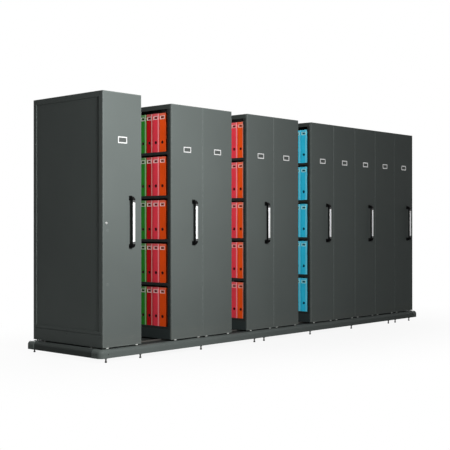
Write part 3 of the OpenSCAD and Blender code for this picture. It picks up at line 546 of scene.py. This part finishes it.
# %% Label holders
CARD_FRONT = front_y - 0.0012
label = Finish("label_metal")
card = label.step(label.y, CARD_FRONT - 0.00005, CARD_FRONT + 0.00005)
fibre = label.noise(500, detail=3)
brushed = label.noise(500, detail=2, stretch=(0.05, 1, 1))
label.set(
    Base_Color=label.mix(card, label.shade(rgb(232, 233, 232), 0.94 + brushed * 0.08),
                         label.shade(rgb(68, 72, 70), 0.85 + fibre * 0.3)),
    Metallic=0.6 - card * 0.6,
    Roughness=0.38 + card * 0.2 + fibre * 0.08,
)
label.bump(fibre, 0.00003)
dress(label, *[f"unit{u}_label_holders" for u in range(1, 7)])

# %% [markdown]
# ## Lock
# The lock face is chromed and spun, so its fine rings run round the barrel. They could be turned
# as real grooves, but a ramp over the distance from the lock's axis, given to a Bump node, does as
# well. The keyway just behind the lock's face is painted near-black: painted shade in its recess.

# %% Lock
KEYWAY_R, FACE_PROUD, RING_PITCH = 0.0045, 0.0033, 0.00025
chrome = Finish("lock_chrome", Metallic=1.0)
centre = joints["lock_turn"]["pos_m"]
off_x, off_z = chrome.x - centre[0], chrome.z - centre[2]
ring = (off_x * off_x + off_z * off_z) ** 0.5
spun = chrome.noise(900, detail=1)
# The keyway is painted near-black: painted shade in its recess.
keyway = (ring < KEYWAY_R) * (chrome.y > front_y - FACE_PROUD)
chrome.set(
    Base_Color=chrome.mix(keyway, chrome.shade(rgb(232, 232, 230), 0.92 + spun * 0.12), rgb(24, 24, 24)),
    Roughness=0.12 + spun * 0.08,
)
chrome.bump((ring * (1 / RING_PITCH)) % 1, 0.00001)
dress(chrome, "lock_cylinder")

# %% [markdown]
# ## Lever arch binders
# Each binder is board wrapped in coloured foil with a leather print. A material for each of them
# would mean splitting the nodes. They stand in a row along the shelf and in equal levels, so two
# divisions give the number of a binder, which picks its colour, and the place on its spine:
# `across` from its front edge, `up` from its foot. The colours of a row run from the front binder
# to the back one. SHEEN_AND_CARD_TINT is the pale tint of the painted highlight on each spine and of the
# cards, and
# CARD says how pale the cards are.

# %% Rows of binders
WARM = [(255, 88, 24), (255, 66, 84), (205, 15, 24), (38, 142, 36), (38, 142, 36)]
COOL = [(54, 216, 255), (54, 216, 255)]
ROWS = {2: WARM, 3: WARM[:3], 4: COOL}
SHEEN_AND_CARD_TINT = {2: (1, 0.94, 0.9, 1), 3: (1, 0.86, 0.8, 1), 4: (0.6, 1, 0.96, 1)}
CARD = {2: 0.62, 3: 0.46, 4: 0.72}
POCKET_UP, POCKET_TALL, POCKET_WIDE = 0.303, 0.032, 0.062
PRINT_WIDE, PRINT_TALL = 0.036, 0.018
FINGER_UP, FINGER_R = 0.086, 0.012
BOARD, HOLE_BACK, RIM_PROUD = 0.003, 0.0125, 0.001
# The last width is that of the painted shade on each spine's far edge.
FOLD_FROM, FOLD_TO, FAR_SHADE = 0.0045, 0.016, 0.008


def grid_of(node):
    """Front edge, pitch, width, lowest foot and level height of the binders in a node."""
    boxes = solids(node)
    rows = sorted({round(lo.y, 4) for lo, hi in boxes})
    feet = sorted({round(lo.z, 4) for lo, hi in boxes})
    width = boxes[0][1].y - boxes[0][0].y
    return rows[0], rows[1] - rows[0], width, feet[0], feet[1] - feet[0]


for unit in ROWS:
    print("binders of unit", unit, [round(value, 4) for value in grid_of(f"unit{unit}_binders")])

# %% [markdown]
# The spine's front edge is folded round the board, and the pale line along it is a painted highlight
# of the fold catching light. The welded pocket near the top has a rim that stands a millimetre
# proud, and clear plastic over a pale card with a printed box. Behind the boards show the edges of
# the sheets, and the finger hole is painted dark inside as painted shade. Small solids could make
# each of these, but they are a pixel or two in size: masks on `across`, `up` and the depth are
# enough. `squared` is the square of the distance from the spine's middle line, so that one mask
# serves both sides of it.

# %% Masks on a spine
def row_colour(foil, along, row):
    """The colour of the binder that a point belongs to."""
    colour = rgb(*row[0])
    for number, tint in enumerate(row[1:], start=1):
        colour = foil.mix(along > number, colour, rgb(*tint))
    return colour


def fold_highlight(foil, across):
    """1 on the painted highlight along the folded front edge."""
    begun = foil.step(across, FOLD_FROM - 0.0015, FOLD_FROM + 0.0015)
    return begun * foil.step(across, FOLD_TO - 0.003, FOLD_TO + 0.003, 1, 0)


def patch(foil, squared, up, wide, tall, soft):
    """1 on a rectangle round the middle of the pocket."""
    beside = foil.band(squared, -1, wide ** 2 / 4, soft)
    return beside * foil.band(up, POCKET_UP - tall / 2, POCKET_UP + tall / 2)


def finger_hole(foil, squared, up, back):
    """1 in the finger hole, as far in as x = `back`."""
    from_middle = (squared + (up - FINGER_UP) * (up - FINGER_UP)) ** 0.5
    inside_rim = foil.step(from_middle, FINGER_R, FINGER_R + 0.0008, 1, 0)
    return inside_rim * foil.step(foil.x, back - 0.0005, back + 0.0005, 1, 0)


print("pocket", POCKET_WIDE, "by", POCKET_TALL, "m, finger hole", 2 * FINGER_R, "m across")

# %% [markdown]
# The foil is then painted in layers, from the bottom up: the faded colour, the painted highlight
# on the folded edge with the paler head, the painted shade on the far edge, the card in its pocket,
# the sheets, and the painted shade in the finger hole last. One ramp could not do it, because each
# layer has its own place.

# %% Binder foil
def binder_foil(unit, row):
    start, pitch, width, foot, level = grid_of(f"unit{unit}_binders")
    spine_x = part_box(f"unit{unit}_binders")[0].x + RIM_PROUD
    foil = Finish(f"binder_foil_{unit}", Specular_IOR_Level=0.15)
    along = (foil.y - start) / pitch
    across = (along % 1) * pitch
    up = (foil.z - foot) % level
    off_middle = across - width / 2
    squared = off_middle * off_middle
    colour = row_colour(foil, along, row)
    pale = foil.mix(0.55, colour, SHEEN_AND_CARD_TINT[unit])
    print_grain = foil.node("TexVoronoi", {"Vector": foil.place, "Scale": 700.0}, out="Distance")

    on_spine = foil.step(foil.x, spine_x + 0.0004, spine_x + 0.0006, 1, 0)
    fold = fold_highlight(foil, across)
    # In unit 2 the front binder stands in the front post's shade, so it gets no painted highlight.
    if unit == 2:
        fold = fold * (along > 1)  # its front binder shows no pale line in the photograph
    pocket_top = POCKET_UP + POCKET_TALL / 2
    head = foil.step(up, pocket_top, pocket_top + 0.004)
    far_edge_shade = foil.step(across, width - FAR_SHADE - 0.004, width - FAR_SHADE + 0.004)
    pocket = patch(foil, squared, up, POCKET_WIDE, POCKET_TALL, soft=1e-4)
    printed = patch(foil, squared, up, PRINT_WIDE, PRINT_TALL, soft=1e-5)
    behind = foil.step(foil.x, spine_x + BOARD, spine_x + BOARD + 0.0002)
    paper = foil.band(across, BOARD, width - BOARD) * behind
    hole = finger_hole(foil, squared, up, spine_x + HOLE_BACK)

    body = foil.shade(colour, 0.82 + foil.noise(7, detail=3) * 0.3 + foil.noise(130, detail=3) * 0.06)
    # The folded edge gets a painted highlight, and the head a slightly paler tint.
    body = foil.mix((fold * 0.75 + head * 0.18) * on_spine, body, pale)
    # Painted shade: the far edge of each spine, next to the binder behind, is darkened.
    body = foil.mix(far_edge_shade * 0.45, body, foil.shade(colour, 0.35))
    card = foil.mix(printed, foil.mix(CARD[unit], colour, SHEEN_AND_CARD_TINT[unit]), foil.shade(colour, 0.22))
    body = foil.mix(pocket * on_spine, body, card)
    sheets = foil.noise(900, detail=2, stretch=(0.02, 1, 0.02))
    body = foil.mix(paper, body, foil.shade(rgb(226, 222, 212), 0.8 + sheets * 0.3))
    # Painted shade: the finger hole's inside takes a darkened foil colour.
    foil.set(
        Base_Color=foil.mix(hole, body, foil.shade(colour, 0.12)),
        Roughness=0.42 + print_grain * 0.12 - pocket * 0.12,
    )
    foil.bump(print_grain, 0.00008)
    return foil


for unit, row in ROWS.items():
    dress(binder_foil(unit, row), f"unit{unit}_binders")

# %% [markdown]
# ## Small fasteners
# Screws, bolts, washers and rings are all bodies of revolution. Blender's own cylinders could be
# scaled and stacked, but they have no chamfers. One helper spins a list of (radius, height) points
# about any direction and adds it to a mesh; with six sides it makes a bolt head, with many a
# washer. `closed` puts a face on its end. All the copies that move together share one mesh.

# %% Spin a profile at many places
def spin(mesh, profile, place, direction, sides=20, closed=False):
    """A body of revolution that stands at a place and points in a direction."""
    turn = Vector(direction).to_track_quat("Z", "Y").to_matrix().to_4x4()
    stand = Matrix.Translation(place) @ turn
    rings = []
    for radius, height in profile:
        ring = [mesh.verts.new(stand @ Vector((radius * math.cos(a), radius * math.sin(a), height)))
                for a in (2 * math.pi * k / sides for k in range(sides))]
        rings.append(ring)
    for below, above in zip(rings, rings[1:]):
        for k in range(sides):
            n = (k + 1) % sides
            mesh.faces.new((below[k], below[n], above[n], above[k]))
    if closed:
        mesh.faces.new(rings[-1])


def piece(name, mesh, finish, body):
    """Turns a mesh into an object with a finish that rides on a body of the CAD model."""
    data = bpy.data.meshes.new(name)
    mesh.to_mesh(data)
    mesh.free()
    made = bpy.data.objects.new(name, data)
    bpy.context.scene.collection.objects.link(made)
    data.materials.append(finish.material)
    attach(made, body)
    print(name, len(data.polygons), "faces, rides on", body)


# %% [markdown]
# A hex bolt is a washer, a six-sided head and a slightly domed, chamfered top. A button-head
# screw is a low dome with a hexagonal socket sunk in its middle. Every height is measured from the
# plate that the screw sits on, so the place given is the place of its hole.

# %% Hex bolts and button-head screws
def hex_bolt(mesh, place, direction, r):
    washer = [(r * 1.45, 0), (r * 1.45, 0.0009), (r * 1.35, 0.0012), (r * 0.8, 0.0012)]
    head = [(r * 1.1, 0.0012), (r * 1.1, 0.0042), (r * 0.95, 0.0048), (r * 0.3, 0.005)]
    spin(mesh, washer, place, direction)
    spin(mesh, head, place, direction, sides=6, closed=True)


def button_screw(mesh, place, direction, r=0.0045):
    dome = [(r, 0), (r * 0.97, 0.0006), (r * 0.8, 0.0015), (r * 0.52, 0.002), (r * 0.45, 0.0021)]
    socket = [(r * 0.5, 0.0021), (r * 0.48, 0.0006), (r * 0.1, 0.0006)]
    spin(mesh, dome, place, direction)
    spin(mesh, socket, place, direction, sides=6, closed=True)


zinc = worked_steel("zinc_plate", rgb(188, 188, 180), (1, 1, 1), rough=0.35, grime=0.2)
black_screw = moulded("black_screw", rgb(34, 35, 36), rough=0.35)
print("finishes for fasteners:", zinc.material.name, "and", black_screw.material.name)

# %% [markdown]
# ## Bolts of the carriages
# Two bolts hold each flanged bearing housing to its channel, one on each side of the shaft. The
# housings could be listed by hand, eight for each unit. Here they are found among the chassis
# solids by their size, and the bolts go on the face that is turned away from the rail.

# %% Bearing bolts
HOUSING_TALL, HOUSING_DEEP, HOUSING_FLANGE = 0.048, 0.012, 0.004
CLOSE = 0.001
BOLT_OFF = 0.021
RAIL_HALF = 0.03
rail_low, rail_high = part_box("track_rails")
rail_ys = (rail_low.y + RAIL_HALF, rail_high.y - RAIL_HALF)
for unit in range(1, 6):
    mesh = bmesh.new()
    for low, high in solids(f"unit{unit}_chassis"):
        size = high - low
        if abs(size.z - HOUSING_TALL) < CLOSE and abs(size.y - HOUSING_DEEP) < CLOSE:
            middle = (low + high) / 2
            rail_y = min(rail_ys, key=lambda y: abs(y - middle.y))
            outward = 1 if middle.y > rail_y else -1
            plate = low.y + HOUSING_FLANGE if outward > 0 else high.y - HOUSING_FLANGE
            for side in (-1, 1):
                place = (middle.x + side * BOLT_OFF, plate, middle.z)
                hex_bolt(mesh, place, (0, outward, 0), r=0.0028)
    piece(f"bearing_bolts_{unit}", mesh, zinc, f"unit{unit}")

# %% [markdown]
# ## Rail bolts
# The rails are bolted to the cross members. A bolt on each side of the rail foot, over every
# cross member, is what an installer would see through the slots of the floor. An array with an
# even step would miss, because the members aren't evenly spaced, so their own boxes give the
# places. The bolts stand a little off the middle of each member.

# %% Rail bolts
RAIL_FLANGE, FLANGE_OFF, OFF_MIDDLE = 0.006, 0.022, 0.01
foot_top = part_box("cross_members")[1].z + RAIL_FLANGE
mesh = bmesh.new()
for low, high in solids("cross_members"):
    x = (low.x + high.x) / 2 + OFF_MIDDLE
    for y in rail_ys:
        for side in (-1, 1):
            hex_bolt(mesh, (x, y + side * FLANGE_OFF, foot_top), (0, 0, 1), r=0.005)
piece("rail_bolts", mesh, zinc, "base")

# %% [markdown]
# ## Screws of the base and of the cladding
# The corner caps are screwed to the sills, one screw on each side of the corner, and the kick
# plate and the framed pan of the lock unit are held at their edges. The screws are black. Copies
# could be placed and turned by hand; the signs of a cap's place give both its outer faces, so one
# loop serves all four corners.

# %% Cap screws
SCREW_OFF, SCREW_DROP = 0.022, 0.004
mesh = bmesh.new()
for low, high in solids("corner_caps"):
    middle = (low + high) / 2
    out_x = -1 if middle.x < 0 else 1
    out_y = -1 if middle.y < 0 else 1
    face_x = low.x if out_x < 0 else high.x
    face_y = low.y if out_y < 0 else high.y
    inner_x = high.x if out_x < 0 else low.x
    inner_y = high.y if out_y < 0 else low.y
    height = middle.z - SCREW_DROP
    button_screw(mesh, (inner_x + out_x * SCREW_OFF, face_y, height), (0, out_y, 0))
    button_screw(mesh, (face_x, inner_y + out_y * SCREW_OFF, height), (out_x, 0, 0))
piece("cap_screws", mesh, black_screw, "base")

# %% Cladding screws
KICK_TALL = 0.2
MARGIN, FRONT_MARGIN, TOP_MARGIN, KICK_MARGIN = 0.012, 0.014, 0.022, 0.02
mesh = bmesh.new()
for low, high in solids("unit1_side_panel"):
    kick_plate = high.z - low.z < KICK_TALL
    heights = [high.z - KICK_MARGIN] if kick_plate else [low.z + MARGIN, high.z - TOP_MARGIN]
    for y in (low.y + FRONT_MARGIN, (low.y + high.y) / 2, high.y - MARGIN):
        for z in heights:
            button_screw(mesh, (low.x, y, z), (-1, 0, 0), r=0.004)
piece("cladding_screws", mesh, black_screw, "unit1")

# %% [markdown]
# ## Rings in the binders
# A ring lines the finger hole in each spine. It is a small rolled eyelet. A torus would stand on
# the spine like a bead, so its profile is an arc instead that starts on the spine, rises a
# millimetre and turns into the hole. Its colour is the foil's colour darkened: painted shade
# inside the hole.

# %% Eyelets
RINGS = {2: rgb(52, 20, 24), 3: rgb(96, 8, 14), 4: rgb(6, 58, 96)}
ARC = [(0.002, 0.0), (0.0018, 0.0006), (0.001, 0.0009), (0.0002, 0.0006), (-0.0002, -0.0004),
       (-0.0002, -0.004)]
eyelet = [(FINGER_R + out, height) for out, height in ARC]
for unit in ROWS:
    mesh = bmesh.new()
    for low, high in solids(f"unit{unit}_binders"):
        spine = (low.x + RIM_PROUD, (low.y + high.y) / 2, low.z + FINGER_UP)
        spin(mesh, eyelet, spine, (-1, 0, 0), sides=24)
    # The ring's darkened foil colour is painted shade inside the hole.
    ring_shade_finish = moulded(f"ring_painted_shade_{unit}", RINGS[unit], rough=0.3)
    piece(f"finger_rings_{unit}", mesh, ring_shade_finish, f"unit{unit}")

# %% [markdown]
# ## Centre strips
# Where the two trays of a double-sided unit meet, a folded strip hangs under them from end to
# end. It closes the sight line over the tops of the binders. A thin box would have bare sheet
# edges, so the strip is drawn as it is bent: a flat flange under the trays, a web that hangs down
# and a hem at its lower edge. The outline gives x and z from the middle of its top. The trays are
# the only solids of their node that are wider than LEAST_TRAY.

# %% Centre strips
LEAST_TRAY = 0.2
STRIP_GAP, STRIP_INSET = 0.0003, 0.02
SHEET, FLANGE, WEB, HEM = 0.001, 0.012, 0.034, 0.005
HALF = SHEET / 2
STRIP = [(-FLANGE, 0), (-FLANGE, -SHEET), (-HALF, -SHEET), (-HALF, -WEB), (HALF + SHEET, -WEB),
         (HALF + SHEET, HEM - WEB), (HALF, HEM + SHEET - WEB), (HALF, -SHEET), (FLANGE, -SHEET), (FLANGE, 0)]


def extrude(mesh, outline, x, z, ends):
    """A bent sheet: the outline, in x and z, drawn out along y."""
    near, far = ([mesh.verts.new((x + a, y, z + b)) for a, b in outline] for y in ends)
    count = len(outline)
    for k in range(count):
        n = (k + 1) % count
        mesh.faces.new((near[k], near[n], far[n], far[k]))
    mesh.faces.new(near[::-1])
    mesh.faces.new(far)


for unit in range(2, 6):
    mesh = bmesh.new()
    trays = [(lo, hi) for lo, hi in solids(f"unit{unit}_shelves") if hi.x - lo.x > LEAST_TRAY]
    middle = (min(lo.x for lo, hi in trays) + max(hi.x for lo, hi in trays)) / 2
    for under in sorted({round(lo.z, 4) for lo, hi in trays})[1:]:
        near = min(lo.y for lo, hi in trays) + STRIP_INSET
        far = max(hi.y for lo, hi in trays) - STRIP_INSET
        extrude(mesh, STRIP, middle, under - STRIP_GAP, (near, far))
    piece(f"centre_strips_{unit}", mesh, shelf_coat, f"unit{unit}")

# %% [markdown]
# ## Floor and white surroundings
# The floor is a pale sheet. It could be left out and the background made white, but then the row
# would float. To the camera the sheet is mixed with plain white, wholly so away from the object,
# where it meets the background without a line, and near the object it keeps a soft shadow. The
# shadow has to reach farther along the row than across it, so lengths along it count for less,
# and ALONG says how much their squares do.

# %% Floor
SHADOW, NEAR_EDGE, FAR_EDGE, ALONG = 0.09, 0.6, 2.6, 0.3
ground = bmesh.new()
bmesh.ops.create_grid(ground, x_segments=8, y_segments=8, size=30)
sheet = bpy.data.meshes.new("floor")
ground.to_mesh(sheet)
ground.free()
floor = bpy.data.objects.new("floor", sheet)
bpy.context.scene.collection.objects.link(floor)
pale = Finish("floor_pale", Roughness=0.9, Specular_IOR_Level=0.1)
mottle = pale.noise(3, detail=2)
pale.set(Base_Color=pale.shade(rgb(196, 196, 195), 0.985 + mottle * 0.03))
white = pale.node("Emission", {"Color": (1, 1, 1, 1), "Strength": 1.0})
far = pale.step((pale.x * pale.x * ALONG + pale.y * pale.y) ** 0.5, NEAR_EDGE, FAR_EDGE)
seen = pale.node("LightPath", out="Is Camera Ray")
lit = Wire(pale, pale.shader.outputs[0])
blend = pale.node("MixShader", {0: seen * (1 - SHADOW + far * SHADOW), 1: lit, 2: white})
pale.put(pale.tree.nodes["Material Output"].inputs["Surface"], blend)
sheet.materials.append(pale.material)
print("floor spans", round(floor.dimensions.x), "m")

# %% [markdown]
# The world lights the row a little from all sides, and is plain white where the camera or a shiny
# surface sees it. One strength for both would wash the paint out, so the Light Path node tells
# these rays from the ones that light a surface.

# %% World
FILL = 0.05
world = bpy.data.worlds.new("studio")
bpy.context.scene.world = world
world.use_nodes = True
tree = world.node_tree
ambient = tree.nodes["Background"]
ambient.inputs["Color"].default_value = (1, 1, 1, 1)
path = tree.nodes.new("ShaderNodeLightPath")
total, *others = [path.outputs[f"Is {kind} Ray"] for kind in ("Camera", "Glossy", "Transmission")]
for ray in others:
    add = tree.nodes.new("ShaderNodeMath")
    tree.links.new(total, add.inputs[0])
    tree.links.new(ray, add.inputs[1])
    total = add.outputs[0]
level = tree.nodes.new("ShaderNodeMapRange")
level.inputs["To Min"].default_value = FILL
tree.links.new(total, level.inputs["Value"])
tree.links.new(level.outputs[0], ambient.inputs["Strength"])
print("world level", FILL, "for diffuse light, 1 where it is seen")

# %% [markdown]
# ## Lamps
# The photograph's fronts are brightest at the left and fall off to the right. A sun would light
# them all alike, so the key lamp is a soft box close in front of the left end, a little above the
# units. A weak one from the left shows the closed side. Two larger ones behind and at the right
# light the sides that the photograph doesn't show.

# %% Lamps
def soft_box(name, place, target, size, watts, spread=math.pi):
    """A rectangular area lamp that points at a target and doesn't show itself."""
    lamp = bpy.data.lights.new(name, "AREA")
    lamp.shape = "RECTANGLE"
    lamp.size, lamp.size_y = size
    lamp.energy = watts
    lamp.spread = spread
    made = bpy.data.objects.new(name, lamp)
    bpy.context.scene.collection.objects.link(made)
    made.location = place
    made.rotation_mode = "QUATERNION"
    made.rotation_quaternion = (Vector(target) - Vector(place)).to_track_quat("-Z", "Y")
    made.visible_camera = False
    print(name, "lamp,", watts, "W")


soft_box("key", (-2.62, -3.45, 2.3), (-2.2, 0.0, 2.0), (0.9, 1.2), 138, spread=2.7)
soft_box("side", (-7.0, 1.0, 2.4), (-2.4, 0.0, 1.0), (2.0, 2.0), 3)
soft_box("rear", (1.5, 5.5, 3.0), (0.0, 0.5, 1.0), (2.5, 2.5), 350)
soft_box("right", (5.8, 2.4, 2.6), (2.4, 0.0, 1.0), (2.0, 2.0), 60)
